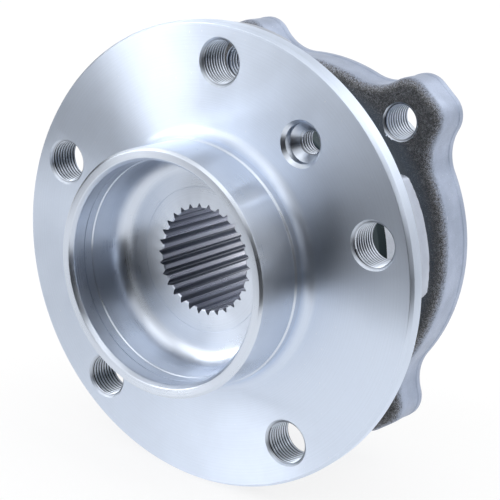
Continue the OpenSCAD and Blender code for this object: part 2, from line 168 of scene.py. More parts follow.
def rounded(points, step=12.0):
    """A polyline of (a, b, fillet) corners with its fillets as arcs of one vertex per step degrees."""
    out = []
    n = len(points)
    for i, (a, b, fillet) in enumerate(points):
        here = Vector((a, b))
        if not fillet:
            out.append(here)
            continue
        before = (Vector(points[i - 1][:2]) - here).normalized()
        after = (Vector(points[(i + 1) % n][:2]) - here).normalized()
        half = before.angle(after) / 2
        reach = fillet / math.tan(half)
        centre = here + (before + after).normalized() * (fillet / math.sin(half))
        start = here + before * reach - centre
        sweep = start.angle_signed(here + after * reach - centre)
        count = max(1, math.ceil(abs(math.degrees(sweep)) / step))
        for k in range(count + 1):
            out.append(centre + Matrix.Rotation(-sweep * k / count, 2) @ start)
    return out


def race(row_y, start, end):
    """Corners of a ball groove's arc in the profile plane, angles in degrees."""
    count = max(2, math.ceil(abs(end - start) / RACE_STEP))
    angles = [math.radians(start + (end - start) * k / count) for k in range(count + 1)]
    return [(ROW_R + GROOVE_R * math.cos(a), row_y + GROOVE_R * math.sin(a), 0) for a in angles]


def grid_mesh(bm, rings, closed_rows):
    """Joins rings of equally many points into quads. closed_rows also joins the last ring to the first."""
    rows = [[bm.verts.new(p * MM) for p in ring] for ring in rings]
    last = len(rows) if closed_rows else len(rows) - 1
    for i in range(last):
        one, two = rows[i], rows[(i + 1) % len(rows)]
        for j in range(len(one)):
            k = (j + 1) % len(one)
            bm.faces.new((one[j], one[k], two[k], two[j]))
    return rows


def to_object(bm, name):
    """Turns a bmesh into an object with smooth faces and sharp edges where the surface breaks."""
    bmesh.ops.recalc_face_normals(bm, faces=bm.faces)
    mesh = bpy.data.meshes.new(name)
    bm.to_mesh(mesh)
    bm.free()
    obj = bpy.data.objects.new(name, mesh)
    bpy.context.scene.collection.objects.link(obj)
    shade(obj)
    return obj


def shade(obj):
    """Smooth faces, with sharp edges left hard."""
    bm = bmesh.new()
    bm.from_mesh(obj.data)
    limit = math.radians(SHARP_DEGREES)
    for f in bm.faces:
        f.smooth = True
    for e in bm.edges:
        e.smooth = len(e.link_faces) == 2 and e.calc_face_angle(0.0) < limit
    bm.to_mesh(obj.data)
    bm.free()


def lathe(name, profile, parts, offset):
    """Closed solid turned about the Y axis. offset(radius, degrees, y) is how far a point moves along Y."""
    bm = bmesh.new()
    rings = []
    for j in range(parts):
        degrees = 360.0 * j / parts
        c, s = math.cos(math.radians(degrees)), math.sin(math.radians(degrees))
        rings.append([Vector((p.x * c, p.y + offset(p.x, degrees, p.y), p.x * s)) for p in profile])
    grid_mesh(bm, rings, True)
    return to_object(bm, name)


def cut(obj, cutters):
    """Subtracts closed cutters that don't touch each other, and deletes them."""
    tool = cutters[0]
    if len(cutters) > 1:
        with bpy.context.temp_override(active_object=tool, selected_editable_objects=cutters):
            bpy.ops.object.join()
    mod = obj.modifiers.new("cut", "BOOLEAN")
    mod.operation = "DIFFERENCE"
    mod.solver = "MANIFOLD"
    mod.object = tool
    graph = bpy.context.evaluated_depsgraph_get()
    mesh = bpy.data.meshes.new_from_object(obj.evaluated_get(graph))
    old = obj.data
    obj.modifiers.clear()
    obj.data = mesh
    mesh.name = obj.name
    bpy.data.meshes.remove(old)
    bpy.data.objects.remove(tool)
    shade(obj)


def core_radius(thread_r, pitch):
    """Radius inside the crests of a thread cut in a hole."""
    return thread_r - THREAD_DEPTH * pitch


def thread_cutter(centre, y_start, y_end, thread_r, pitch, phase=0.0):
    """Screw-shaped solid about an axis along Y. Its rows follow the helix, so each crest is one line."""
    core = core_radius(thread_r, pitch)
    steps = ((0.0, core), (0.09, core), (0.17, core + 0.04), (0.42, thread_r - 0.03),
             (0.46, thread_r), (0.54, thread_r), (0.58, thread_r - 0.03), (0.83, core + 0.04), (0.91, core))
    per_turn = len(steps)
    turns = math.ceil((y_end - y_start) / pitch) + 1
    bm = bmesh.new()
    rows = []
    for i in range(turns * per_turn + 1):
        turn, step = divmod(i, per_turn)
        share, radius = steps[step]
        row = []
        for j in range(THREAD_PARTS):
            a = TURN * j / THREAD_PARTS
            y = y_start + (turn + share + j / THREAD_PARTS) * pitch
            row.append(bm.verts.new(Vector((centre.x + radius * math.cos(a + phase), y,
                                            centre.y + radius * math.sin(a + phase))) * MM))
        rows.append(row)
    for i in range(len(rows) - 1):
        for j in range(THREAD_PARTS - 1):
            bm.faces.new((rows[i][j], rows[i][j + 1], rows[i + 1][j + 1], rows[i + 1][j]))
        if i + per_turn + 1 < len(rows):
            bm.faces.new((rows[i][-1], rows[i + per_turn][0], rows[i + per_turn + 1][0], rows[i + 1][-1]))
    low = rows[0] + [rows[k][0] for k in range(per_turn, 0, -1)]
    top = len(rows) - 1
    high = rows[top][::-1] + [rows[k][-1] for k in range(top - per_turn, top)]
    for loop, y in ((low, y_start - pitch), (high, y_end + 2 * pitch)):
        tip = bm.verts.new(Vector((centre.x, y, centre.y)) * MM)
        for a, b in zip(loop, loop[1:] + loop[:1]):
            bm.faces.new((a, b, tip))
    return to_object(bm, "cutter")


def round_cutter(centre, outline):
    """Solid turned about an axis along Y through centre. outline is (radius, y) from end to end."""
    bm = bmesh.new()
    rings = []
    for radius, y in outline:
        angles = [TURN * j / HOLE_PARTS for j in range(HOLE_PARTS)]
        rings.append([Vector((centre.x + radius * math.cos(a), y, centre.y + radius * math.sin(a)))
                      for a in angles])
    rows = grid_mesh(bm, rings, False)
    bm.faces.new(rows[0])
    bm.faces.new(rows[-1])
    return to_object(bm, "cutter")


def hub_profile():
    """Section of the turned hub as a closed loop of (radius, y) points."""
    race_angle = math.degrees(math.acos((SEAL_LAND_R - ROW_R) / GROOVE_R))
    low_angle = math.degrees(math.acos((LOW_SHOULDER_R - ROW_R) / GROOVE_R))
    web_slope = (WEB_Y - RIM_T) / (RIM_LAND_R - WEB_R)
    back = []
    radius = FLANGE_R - 0.3
    while radius > WEB_R + 0.2:
        back.append((radius, RIM_T + max(0.0, RIM_LAND_R - radius) * web_slope, 0))
        radius -= FINE_STEP if radius > BOSS_END_R - 5 else COARSE_STEP
    corners = [
        (SPLINE_MINOR_R, 0.4, 0), (SPLINE_MINOR_R + 0.4, 0, 0.1),
        (FLOOR_RING_R - 0.15, 0, 0), (FLOOR_RING_R - 0.1, 0.15, 0),
        (FLOOR_RING_R + 0.1, 0.15, 0), (FLOOR_RING_R + 0.15, 0, 0),
        (CUP_LOWER_R, 0, CUP_FILLET), (CUP_LOWER_R, -CUP_STEP_H, 0.1), (CUP_R, -CUP_STEP_H - 0.35, 0.1),
        (CUP_R, -CUP_GROOVE_H + 0.16, 0), (CUP_R + 0.35, -CUP_GROOVE_H + 0.12, 0),
        (CUP_R + 0.35, -CUP_GROOVE_H - 0.12, 0), (CUP_R, -CUP_GROOVE_H - 0.16, 0),
        (CUP_R, -PILOT_H + CUP_MOUTH_H, 0.8), (CUP_R + CUP_MOUTH_W, -PILOT_H, 0.4),
        (PILOT_R - 0.8, -PILOT_H, 0.25), (PILOT_R, -PILOT_H + 0.8, 0.25),
        (PILOT_R, -PILOT_ROOT_H, 0.2), (PILOT_ROOT_R, -PILOT_ROOT_H + 0.5, 0.2),
        (PILOT_ROOT_R, 0, PILOT_FILLET), (FLANGE_R - 0.8, 0, 0.3), (FLANGE_R, 1.2, 0.3),
        (FLANGE_R, RIM_T, 0.3), *back,
        (WEB_R, WEB_Y, 0), (SEAL_FACE_R + 1.5, WEB_Y, 0.8), (SEAL_FACE_R, SEAL_FACE_Y, 0.4),
        (SEAL_LAND_R, SEAL_FACE_Y, NECK_FILLET),
        *race(OUTBOARD_ROW_Y, -race_angle, -low_angle),
        (LOW_SHOULDER_R, ROW_MID_Y, 0), (INNER_SEAT_R, ROW_MID_Y, 0),
        (INNER_SEAT_R, INNER_RING_END_Y, 0), (COLLAR_R, INNER_RING_END_Y, 1.9),
        (COLLAR_R - 0.4, HUB_END_Y - 1.4, 0.8), (COLLAR_R - 2.6, HUB_END_Y, 1.2),
        (SPLINE_MAJOR_R + 3.2, HUB_END_Y, 0.4), (SPLINE_MAJOR_R + 2.8, HUB_END_Y - 0.5, 0.2),
        (ENTRY_R + 0.6, HUB_END_Y - 0.5, 0.2), (ENTRY_R, HUB_END_Y - 1.1, 0.2),
        (ENTRY_R, ENTRY_Y, 0), (SPLINE_MINOR_R, ENTRY_Y - 2.0, 0)]
    return rounded(corners)


def boss_lift(radius, degrees, y):
    """How far the flange's back is raised at a point to form the bolt bosses and the screw hole's pad."""
    if y < RIM_T - 0.2 or y > BOSS_T or radius < SEAL_FACE_R:
        return 0.0
    pitch = 360 / BOLT_COUNT
    a = math.radians((degrees - BOLT_PHASE + pitch / 2) % pitch - pitch / 2)
    u, v = radius * math.cos(a), abs(radius * math.sin(a))
    corner_u = BOSS_END_R - BOSS_CORNER_R - BOSS_CORNER_INSET
    corner_v = BOSS_W / 2 - BOSS_CORNER_R
    side = v - BOSS_W / 2
    if u > corner_u:
        side = math.hypot(u - corner_u, v - corner_v) - BOSS_CORNER_R if v > corner_v else -BOSS_CORNER_R
    outside = max(side, math.hypot(u - BOSS_END_R + BOSS_END_ARC, v) - BOSS_END_ARC)
    pad = (polar(radius, degrees) - polar(SCREW_R, SCREW_ANGLE)).length - SCREW_PAD_R
    share = min(1.0, max(0.0, 0.5 - min(outside, pad) / BOSS_FLANK))
    return (BOSS_T - y) * share * share * (3 - 2 * share)


def spline_cutter():
    """Prism through the bore with one rounded groove for each tooth space."""
    bm = bmesh.new()
    outline = []
    groove = rounded([
        (SPLINE_MINOR_R - 0.6, -SPLINE_MOUTH_HALF, 0), (SPLINE_MAJOR_R, -SPLINE_FLOOR_HALF, 0.12),
        (SPLINE_MAJOR_R, SPLINE_FLOOR_HALF, 0.12), (SPLINE_MINOR_R - 0.6, SPLINE_MOUTH_HALF, 0)], 30)
    for i in range(SPLINE_TEETH):
        turn = Matrix.Rotation(-TURN * (i + 0.5) / SPLINE_TEETH, 2)
        outline += [turn @ p for p in groove]
    rings = [[Vector((p.x, y, p.y)) for p in outline] for y in (-BEYOND, HUB_END_Y + BEYOND)]
    rows = grid_mesh(bm, rings, False)
    bm.faces.new(rows[0])
    bm.faces.new(rows[1])
    return to_object(bm, "cutter")


def build_hub():
    """Flanged hub with threaded bolt holes, the countersunk screw hole and the splined bore."""
    hub = lathe("hub_turned", hub_profile(), HUB_PARTS, boss_lift)
    core = core_radius(BOLT_THREAD_R, BOLT_PITCH) - DRILL_GAP
    over = BOLT_MOUTH_R - core
    holes, threads = [], []
    for i in range(BOLT_COUNT):
        centre = polar(BOLT_R, BOLT_PHASE + i * 360 / BOLT_COUNT)
        holes.append(round_cutter(centre, [
            (BOLT_MOUTH_R + BEYOND, -BEYOND), (core, over), (core, BOSS_T - over),
            (BOLT_MOUTH_R + BEYOND, BOSS_T + BEYOND)]))
        threads.append(thread_cutter(centre, 0.3, BOSS_T + BEYOND, BOLT_THREAD_R, BOLT_PITCH,
                                     i * BOLT_THREAD_TURN))
    centre = polar(SCREW_R, SCREW_ANGLE)
    core = core_radius(SCREW_THREAD_R, SCREW_PITCH) - DRILL_GAP
    over = SCREW_THREAD_R + 0.2 - core
    holes.append(round_cutter(centre, [
        (SCREW_MOUTH_R + BEYOND, -BEYOND), (SCREW_SEAT_R, SCREW_MOUTH_R - SCREW_SEAT_R),
        (SCREW_SEAT_R, SCREW_SEAT_Y), (core, SCREW_SEAT_Y + SCREW_SEAT_R - core), (core, BOSS_T - over),
        (core + over + BEYOND, BOSS_T + BEYOND)]))
    threads.append(thread_cutter(centre, 3.0, BOSS_T + BEYOND, SCREW_THREAD_R, SCREW_PITCH))
    cut(hub, [spline_cutter()])
    cut(hub, holes)
    cut(hub, threads)
    return hub


def lug_outline():
    """Rim of the lug flange once around, as (point, outward normal) pairs in the plane across the axis."""
    corner = Vector((LUG_END_R - LUG_CORNER_R, LUG_FLAT_HALF))
    to_axis = LUG_FLANGE_R + LUG_FILLET_R
    to_corner = LUG_CORNER_R + LUG_FILLET_R
    reach = corner.length
    along = (to_axis ** 2 - to_corner ** 2 + reach ** 2) / (2 * reach)
    fillet_angle = math.atan2(math.sqrt(to_axis ** 2 - along ** 2), along) + math.atan2(corner.y, corner.x)
    centre = to_axis * Vector((math.cos(fillet_angle), math.sin(fillet_angle)))
    half = []
    toward = math.atan2(centre.y - corner.y, centre.x - corner.x)
    count = round(LUG_CORNER_R * toward / RIM_SPACING)
    half += [(corner, LUG_CORNER_R, toward * k / count, 1) for k in range(count + 1)]
    start, end = toward + math.pi, fillet_angle + math.pi
    count = round(LUG_FILLET_R * abs(end - start) / RIM_SPACING)
    half += [(centre, LUG_FILLET_R, start + (end - start) * k / count, -1) for k in range(1, count + 1)]
    side = []
    for mid, radius, a, sign in half:
        out = Vector((math.cos(a), math.sin(a)))
        side.append((mid + radius * out, sign * out))
    flip = [(Vector((p.x, -p.y)), Vector((n.x, -n.y))) for p, n in reversed(side)]
    flats = round(2 * LUG_FLAT_HALF / RIM_SPACING)
    flat = [(Vector((LUG_END_R, LUG_FLAT_HALF * (2 * k / flats - 1))), Vector((1, 0)))
            for k in range(1, flats)]
    rim = []
    for i, degrees in enumerate(LUG_ANGLES):
        turn = Matrix.Rotation(math.radians(degrees), 2)
        rim += [(turn @ p, turn @ n) for p, n in flip + flat + side]
        first = math.radians(degrees) + fillet_angle
        following = LUG_ANGLES[(i + 1) % len(LUG_ANGLES)] + (360 if i == len(LUG_ANGLES) - 1 else 0)
        last = math.radians(following) - fillet_angle
        count = round(LUG_FLANGE_R * (last - first) / RIM_SPACING)
        for k in range(1, count):
            a = first + (last - first) * k / count
            out = Vector((math.cos(a), math.sin(a)))
            rim.append((LUG_FLANGE_R * out, out))
    return rim


def roughen(bm):
    """Dents the forged lug flange: strongly on its front and front edge, softly on its side."""
    bm.normal_update()
    moves = []
    for v in bm.verts:
        p = v.co / MM
        radius = math.hypot(p.x, p.z)
        if LUG_FRONT_Y - 0.1 < p.y < KNUCKLE_FACE_Y - LUG_LAND_T - 0.4 and radius > RING_BODY_R + 3:
            front = min(1.0, max(0.0, (LUG_FRONT_Y + 4.0 - p.y) / 3.0))
            rough = noise.noise(p * 0.9) * 0.6 + noise.noise(p * 2.1) * 0.4
            dent = 0.03 + 0.1 * front + (0.04 + 0.5 * front) * rough * FORGED_DENT
            moves.append((v, v.normal * dent))
    outward = 1 if bm.calc_volume(signed=True) > 0 else -1
    for v, move in moves:
        v.co -= outward * move * MM


def build_outer_ring():
    """Fixed ring: turned nose and body, forged lug flange with a round front edge, knuckle pilot, bore."""
    race_angle = math.degrees(math.acos((OUTER_SHOULDER_R - ROW_R) / GROOVE_R))
    front = rounded([
        (OUTER_SHOULDER_R, ROW_MID_Y, 0),
        *race(OUTBOARD_ROW_Y, race_angle, 0),
        (ROW_R + GROOVE_R, OUTBOARD_SEAT_Y, 0.4), (SEAL_SEAT_R, OUTBOARD_SEAT_Y, 0),
        (SEAL_SEAT_R, RING_FRONT_Y, 0.3), (RING_NOSE_R, RING_FRONT_Y, 0.9),
        (RING_NOSE_R, RING_NOSE_BACK_Y, 0.8),
        ((RING_NOSE_R + RING_BODY_R) / 2, (RING_NOSE_BACK_Y + RING_BODY_FRONT_Y) / 2, 0),
        (RING_BODY_R, RING_BODY_FRONT_Y, 0.8),
        (RING_BODY_R, LUG_FRONT_Y, RING_FILLET), (RING_BODY_R + RING_FILLET + 0.5, LUG_FRONT_Y, 0)])
    back = rounded([
        (KNUCKLE_PILOT_R + 0.9, KNUCKLE_FACE_Y, 0), (KNUCKLE_PILOT_R + 0.6, KNUCKLE_FACE_Y + 0.3, 0),
        (KNUCKLE_PILOT_R, KNUCKLE_FACE_Y + 0.3, 0.2), (KNUCKLE_PILOT_R, RING_BACK_Y - 1.5, 0.3),
        (KNUCKLE_PILOT_R - 1.5, RING_BACK_Y, 0.3), (SEAL_SEAT_R, RING_BACK_Y, 0.3),
        (SEAL_SEAT_R, INBOARD_SEAT_Y, 0), (ROW_R + GROOVE_R, INBOARD_SEAT_Y, 0.4),
        *race(INBOARD_ROW_Y, 0, -race_angle)])
    land_y = KNUCKLE_FACE_Y - LUG_LAND_T
    rim_steps = [(LUG_STEP + LUG_EDGE_R * (1 - math.sin(math.radians(a))),
                  LUG_FRONT_Y + LUG_EDGE_R * (1 - math.cos(math.radians(a)))) for a in range(0, 91, 10)]
    rim_steps += [(LUG_STEP, y) for y in (*LUG_SIDE_ROWS_Y, land_y - 0.5)]
    rim_steps += [(LUG_STEP * 0.9, land_y - 0.2), (LUG_STEP * 0.1, land_y + 0.05), (0, land_y + 0.25),
                  (0, KNUCKLE_FACE_Y - 1.0), (0, KNUCKLE_FACE_Y - 0.5), (0.12, KNUCKLE_FACE_Y - 0.15),
                  (0.45, KNUCKLE_FACE_Y)]
    bm = bmesh.new()
    columns = []
    for point, normal in lug_outline():
        out = point.normalized()
        column = [Vector((out.x * p.x, p.y, out.y * p.x)) for p in front]
        start = out * front[-1].x
        edge = point - normal * rim_steps[0][0]
        for k in range(1, FRONT_ROWS):
            p = start.lerp(edge, k / FRONT_ROWS)
            column.append(Vector((p.x, LUG_FRONT_Y, p.y)))
        for inset, y in rim_steps:
            p = point - normal * inset
            column.append(Vector((p.x, y, p.y)))
        column += [Vector((out.x * p.x, p.y, out.y * p.x)) for p in back]
        columns.append(column)
    grid_mesh(bm, columns, True)
    roughen(bm)
    ring = to_object(bm, "outer_ring_forged")
    core = core_radius(KNUCKLE_THREAD_R, KNUCKLE_PITCH) - DRILL_GAP
    holes, threads = [], []
    for i, degrees in enumerate(LUG_ANGLES):
        centre = polar(KNUCKLE_BOLT_R, degrees)
        holes.append(round_cutter(centre, [
            (KNUCKLE_MOUTH_R + BEYOND, LUG_FRONT_Y - BEYOND), (core, LUG_FRONT_Y + KNUCKLE_MOUTH_R - core),
            (core, KNUCKLE_FACE_Y - KNUCKLE_MOUTH_R + core),
            (KNUCKLE_MOUTH_R + BEYOND, KNUCKLE_FACE_Y + BEYOND)]))
        threads.append(thread_cutter(centre, LUG_FRONT_Y - 2, KNUCKLE_FACE_Y + BEYOND, KNUCKLE_THREAD_R,
                                     KNUCKLE_PITCH, i * LUG_THREAD_TURN))
    cut(ring, holes)
    cut(ring, threads)
    return ring


# Colour sockets of a Mix node: its two inputs and its result
MIX_A, MIX_B, MIX_OUT = 6, 7, 2


def node_in(tree, kind, inputs=None, **settings):
    """Adds a node to a tree, sets it up and returns it."""
    node = tree.nodes.new("ShaderNode" + kind)
    for key, value in settings.items():
        setattr(node, key, value)
    for key, value in (inputs or {}).items():
        if isinstance(value, bpy.types.NodeSocket):
            tree.links.new(value, node.inputs[key])
        else:
            node.inputs[key].default_value = value
    return node


class Finish:
    """A material with one Principled shader, and short ways to add nodes to it, in millimetres."""

    def __init__(self, name, color, metallic, roughness):
        self.mat = bpy.data.materials.new(name)
        self.mat.use_nodes = True
        self.tree = self.mat.node_tree
        self.shader = self.tree.nodes["Principled BSDF"]
        self.set("Base Color", (*color, 1))
        self.set("Metallic", metallic)
        self.set("Roughness", roughness)
        coords = self.node("TexCoord").outputs["Object"]
        self.place = self.node("VectorMath", {0: coords, "Scale": 1 / MM}, operation="SCALE").outputs[0]
        split = self.node("SeparateXYZ", {0: self.place})
        self.y = split.outputs["Y"]
        self.across = self.node("CombineXYZ", {"X": split.outputs["X"], "Y": split.outputs["Z"]}).outputs[0]
        self.radius = self.node("VectorMath", {0: self.across}, operation="LENGTH").outputs["Value"]

    def set(self, socket, value):
        self.shader.inputs[socket].default_value = value

    def node(self, kind, inputs=None, **settings):
        return node_in(self.tree, kind, inputs, **settings)

    def calc(self, operation, a, b):
        return self.node("Math", {0: a, 1: b}, operation=operation).outputs[0]

    def share(self, a, a_share, b, b_share):
        """Sum of two values, each times its share."""
        return self.calc("ADD", self.calc("MULTIPLY", a, a_share), self.calc("MULTIPLY", b, b_share))

    def ramp(self, value, low, high, out_low=0.0, out_high=1.0):
        """Smooth step of a value from low to high."""
        return self.node("MapRange", {"Value": value, "From Min": low, "From Max": high, "To Min": out_low,
                                      "To Max": out_high}, interpolation_type="SMOOTHSTEP").outputs[0]

    def noise(self, per_mm, detail=3.0, roughness=0.5, vector=None):
        """Cloudy noise from 0 to 1, with that many features a millimetre."""
        inputs = {"Vector": vector or self.place, "Scale": per_mm, "Detail": detail, "Roughness": roughness}
        return self.node("TexNoise", inputs).outputs["Fac"]

    def lines(self, value, per_mm):
        """Noise along one length only, so it draws lines where the length is constant."""
        inputs = {"W": value, "Scale": per_mm, "Detail": 2.0, "Roughness": 0.6}
        return self.node("TexNoise", inputs, noise_dimensions="1D").outputs["Fac"]

    def tint(self, factor, dark, light):
        """Colour between dark and light."""
        mix = self.node("Mix", {0: factor}, data_type="RGBA")
        mix.inputs[MIX_A].default_value = (*dark, 1)
        mix.inputs[MIX_B].default_value = (*light, 1)
        return mix.outputs[MIX_OUT]

    def blend(self, factor, one, two):
        """Colour one where the factor is 0 and two where it is 1."""
        return self.node("Mix", {0: factor, MIX_A: one, MIX_B: two}, data_type="RGBA").outputs[MIX_OUT]

    def scratches(self, rarity):
        """Short thin marks, fewer for a higher rarity."""
        turned = self.node("VectorRotate", {"Vector": self.place, "Axis": (0.4, 0.2, 1.0),
                                            "Angle": 0.7}).outputs[0]
        drawn = self.node("VectorMath", {0: turned, 1: (3.2, 3.2, 0.16)}, operation="MULTIPLY").outputs[0]
        return self.ramp(self.noise(1.0, 1.0, 0.4, drawn), rarity, rarity + 0.04)

    def use(self, color, roughness, height, depth):
        """Links what was made to the shader. depth is the bump's height in millimetres."""
        bump = self.node("Bump", {"Height": height, "Distance": depth * MM, "Strength": 1.0})
        for socket, value in (("Base Color", color), ("Roughness", roughness), ("Normal", bump.outputs[0])):
            self.tree.links.new(value, self.shader.inputs[socket])
        return self.mat


def light_of(color, share):
    """The same colour, lighter or darker."""
    return tuple(min(1.0, c * share) for c in color)


def turned_steel(name, color, roughness=0.36, anisotropy=0.96, depth=0.00015):
    """Bright steel with the concentric lines that a lathe leaves, and a faint handled bloom."""
    f = Finish(name, color, 1.0, roughness)
    f.set("Anisotropic", anisotropy)
    f.set("Anisotropic Rotation", 0.25)
    tangent = f.node("Tangent", direction_type="RADIAL", axis="Y").outputs[0]
    f.tree.links.new(tangent, f.shader.inputs["Tangent"])
    along = f.calc("ADD", f.radius, f.calc("MULTIPLY", f.y, 0.83))
    fine = f.lines(along, 9.0)
    wide = f.lines(along, 3.5)
    cloud = f.noise(0.06, 4, 0.6)
    height = f.calc("ADD", f.calc("MULTIPLY", fine, 0.5), wide)
    shade = f.share(wide, 0.4, cloud, 0.6)
    rough = f.calc("ADD", f.ramp(cloud, 0.3, 0.7, -0.02, 0.03),
                   f.ramp(fine, 0.3, 0.7, roughness - 0.02, roughness + 0.02))
    color = f.tint(f.ramp(shade, 0.2, 0.8), light_of(color, 0.93), light_of(color, 1.05))
    return f.use(f.blend(f.scratches(0.78), color, (0.95, 0.96, 1.0, 1)), rough, height, depth)


def thread_steel(name, centres, thread_r, pitch, mouth_y, mouth_roughness):
    """Cut threads about the given centres: bright crests and mouth, and roots darkened with painted shade
    from a little way in.
    """
    f = Finish(name, (0.6, 0.65, 0.74), 1.0, 0.3)
    near = None
    for centre in centres:
        away = f.node("VectorMath", {0: f.across, 1: (centre.x, centre.y, 0)},
                      operation="DISTANCE").outputs["Value"]
        near = f.calc("MINIMUM", near, away) if near else away
    # From a little inside the mouth the thread roots are coloured nearly black: painted shade in the
    # recesses.
    root_shade = f.calc("MULTIPLY", f.ramp(near, thread_r - 0.5 * pitch, thread_r - 0.22 * pitch),
                  f.ramp(f.y, mouth_y + 0.1, mouth_y + 0.9))
    cloud = f.noise(0.7, 3)
    bright = f.tint(cloud, (0.6, 0.66, 0.76), (0.78, 0.84, 0.93))
    rough = f.calc("ADD", f.ramp(cloud, 0.3, 0.7, -0.02, 0.02),
                   f.ramp(f.y, mouth_y + 1.0, mouth_y, 0.32, mouth_roughness))
    return f.use(f.blend(root_shade, bright, (0.06, 0.065, 0.08, 1)), rough, f.noise(6.0, 2), 0.0006)


def spline_steel(name):
    """Broached spline: bright tooth tops, grooves darkened with painted shade, and soft lines along the
    teeth.
    """
    f = Finish(name, (0.36, 0.38, 0.42), 1.0, 0.3)
    stretch = f.node("VectorMath", {0: f.place, 1: (1, 0.02, 1)}, operation="MULTIPLY").outputs[0]
    drag = f.noise(1.6, 2, 0.5, stretch)
    # The tooth spaces are coloured dark grey: painted shade in the grooves.
    groove = f.ramp(f.radius, SPLINE_MINOR_R + 0.05, SPLINE_MINOR_R + 0.7)
    top = f.tint(drag, (0.6, 0.62, 0.7), (0.86, 0.88, 0.95))
    color = f.blend(groove, top, (0.34, 0.36, 0.41, 1))
    return f.use(color, f.ramp(drag, 0.3, 0.7, 0.26, 0.36), drag, 0.002)


def blasted_steel(name, dark, light, metallic, roughness, depth=0.02):
    """Shot-blasted forging: matt and mottled, with a fine grain."""
    f = Finish(name, light, metallic, roughness)
    cloud = f.noise(0.09, 5, 0.6)
    grain = f.noise(2.2, 4, 0.65)
    shade = f.share(cloud, 0.6, grain, 0.4)
    return f.use(f.tint(f.ramp(shade, 0.35, 0.65), dark, light),
                 f.ramp(grain, 0.3, 0.7, roughness - 0.08, roughness + 0.1), grain, depth)


def sheet_steel(name):
    """Pressed sheet, with the fine circles and smears that pressing leaves."""
    f = Finish(name, (0.56, 0.58, 0.61), 1.0, 0.35)
    smear = f.noise(0.25, 4, 0.6)
    return f.use(f.tint(f.ramp(smear, 0.3, 0.7), (0.48, 0.5, 0.53), (0.62, 0.64, 0.67)),
                 f.ramp(smear, 0.3, 0.7, 0.28, 0.42), f.calc("ADD", f.lines(f.radius, 3.0), f.noise(2.0, 3)),
                 0.004)


def ball_steel(name):
    """Polished ball steel under a thin film of grease."""
    f = Finish(name, (0.66, 0.68, 0.7), 1.0, 0.12)
    film = f.noise(0.5, 3)
    return f.use(f.tint(film, (0.6, 0.61, 0.62), (0.72, 0.74, 0.77)), f.ramp(film, 0.35, 0.7, 0.07, 0.25),
                 film, 0.004)


def moulded(name, dark, light, roughness, grain, depth, subsurface=0.0):
    """Moulded rubber or plastic with a fine grain and a little bloom."""
    f = Finish(name, light, 0.0, roughness)
    f.set("Subsurface Weight", subsurface)
    f.set("Subsurface Scale", MM)
    cloud = f.noise(0.3, 4, 0.6)
    fine = f.noise(grain, 3)
    shade = f.share(cloud, 0.6, fine, 0.4)
    return f.use(f.tint(f.ramp(shade, 0.35, 0.65), dark, light),
                 f.ramp(cloud, 0.3, 0.7, roughness - 0.08, roughness + 0.08), fine, depth)


def forged_steel(name):
    """Lug flange: matt blue-grey side, and a dark scaly front that breaks up into grains over the edge.
    Nearer the body the front turns a lighter blue-grey, which is painted light.
    """
    f = Finish(name, (0.35, 0.39, 0.47), 0.6, 0.5)
    grain, coarse, cloud = f.noise(4.5, 3, 0.7), f.noise(1.3, 4, 0.7), f.noise(0.1, 4, 0.6)
    both = f.share(grain, 0.5, coarse, 0.5)
    broken = f.calc("ADD", f.y, f.calc("MULTIPLY", f.calc("SUBTRACT", both, 0.5), 9.0))
    side = f.ramp(broken, LUG_FRONT_Y + 0.1, LUG_FRONT_Y + 3.4)
    near_edge = f.ramp(f.y, LUG_FRONT_Y - 0.2, LUG_FRONT_Y + 1.6)
    sparkle = f.calc("MULTIPLY", f.ramp(grain, 0.5, 0.66),
                     f.calc("ADD", f.calc("MULTIPLY", near_edge, 0.9), 0.05))
    front_color = f.tint(f.ramp(both, 0.36, 0.66), (0.045, 0.048, 0.052), (0.17, 0.172, 0.175))
    # Nearer the body the front is coloured a lighter blue-grey: painted light.
    painted_light_band = f.calc("ADD", f.radius, f.calc("MULTIPLY", f.calc("SUBTRACT", coarse, 0.5), 6.0))
    front_color = f.blend(f.ramp(painted_light_band, 55.5, 52.0), front_color, (0.11, 0.13, 0.155, 1))
    front_color = f.blend(sparkle, front_color, (0.75, 0.72, 0.7, 1))
    mottle = f.share(cloud, 0.55, grain, 0.45)
    side_color = f.tint(f.ramp(mottle, 0.36, 0.66), (0.33, 0.385, 0.505), (0.45, 0.515, 0.655))
    side_color = f.blend(f.scratches(0.76), side_color, (0.85, 0.87, 0.9, 1))
    rough = f.node("MapRange", {"Value": side, "To Min": 0.62, "To Max": 0.42}).outputs[0]
    less = f.node("MapRange", {"Value": side, "To Min": 1.0, "To Max": 0.16}).outputs[0]
    relief = f.calc("MULTIPLY", both, less)
    return f.use(f.blend(side, front_color, side_color), rough, relief, 0.35)


def paint(obj, materials, rule):
    """Gives each face the material whose index rule(centre in mm, normal) returns."""
    obj.data.materials.clear()
    for mat in materials:
        obj.data.materials.append(mat)
    for face in obj.data.polygons:
        face.material_index = rule(face.center / MM, face.normal)


# Axis of each hole, and the radius around it that belongs to the hole
BOLT_HOLES = [(polar(BOLT_R, BOLT_PHASE + i * 360 / BOLT_COUNT), BOLT_MOUTH_R) for i in range(BOLT_COUNT)]
SCREW_HOLE = [(polar(SCREW_R, SCREW_ANGLE), SCREW_MOUTH_R + 0.2)]
LUG_HOLES = [(polar(KNUCKLE_BOLT_R, a), KNUCKLE_MOUTH_R) for a in LUG_ANGLES]


def in_hole(centre, normal, holes):
    """True on the wall of one of the holes."""
    flat = Vector((centre.x, centre.z))
    return abs(normal.y) < 0.98 and any((flat - c).length < r + 0.05 for c, r in holes)


